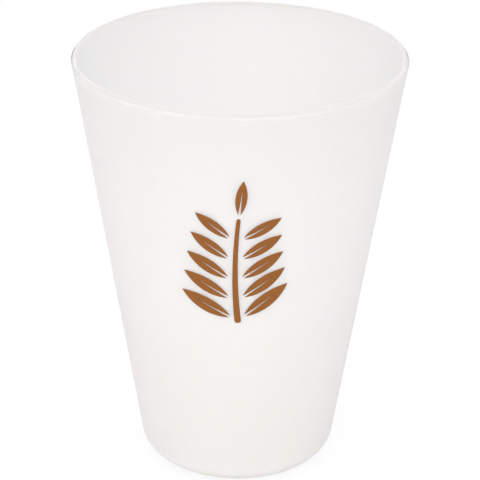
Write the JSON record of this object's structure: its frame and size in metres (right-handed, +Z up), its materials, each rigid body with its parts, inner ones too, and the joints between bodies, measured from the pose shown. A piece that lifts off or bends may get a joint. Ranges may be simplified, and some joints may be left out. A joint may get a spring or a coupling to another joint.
{
  "type": "plastic cup",
  "caption": "Straight-sided tapered tumbler in milky frosted plastic, with a plain rounded lip, a soft base corner and a leaf sprig printed on its front.",
  "frame": {"origin": "centre of the foot, on the plane that the cup stands on", "axes": "+Z up along the cup's axis, towards its mouth; the printed sprig faces -Y; +X to the right of the print"},
  "size_m": [0.088, 0.088, 0.115],
  "materials": {
    "frosted_plastic": "frosted",
    "brown_ink": "matte"
  },
  "bodies": {
    "root": {"cup": "frosted_plastic", "print": "brown_ink"}
  },
  "joints": []
}
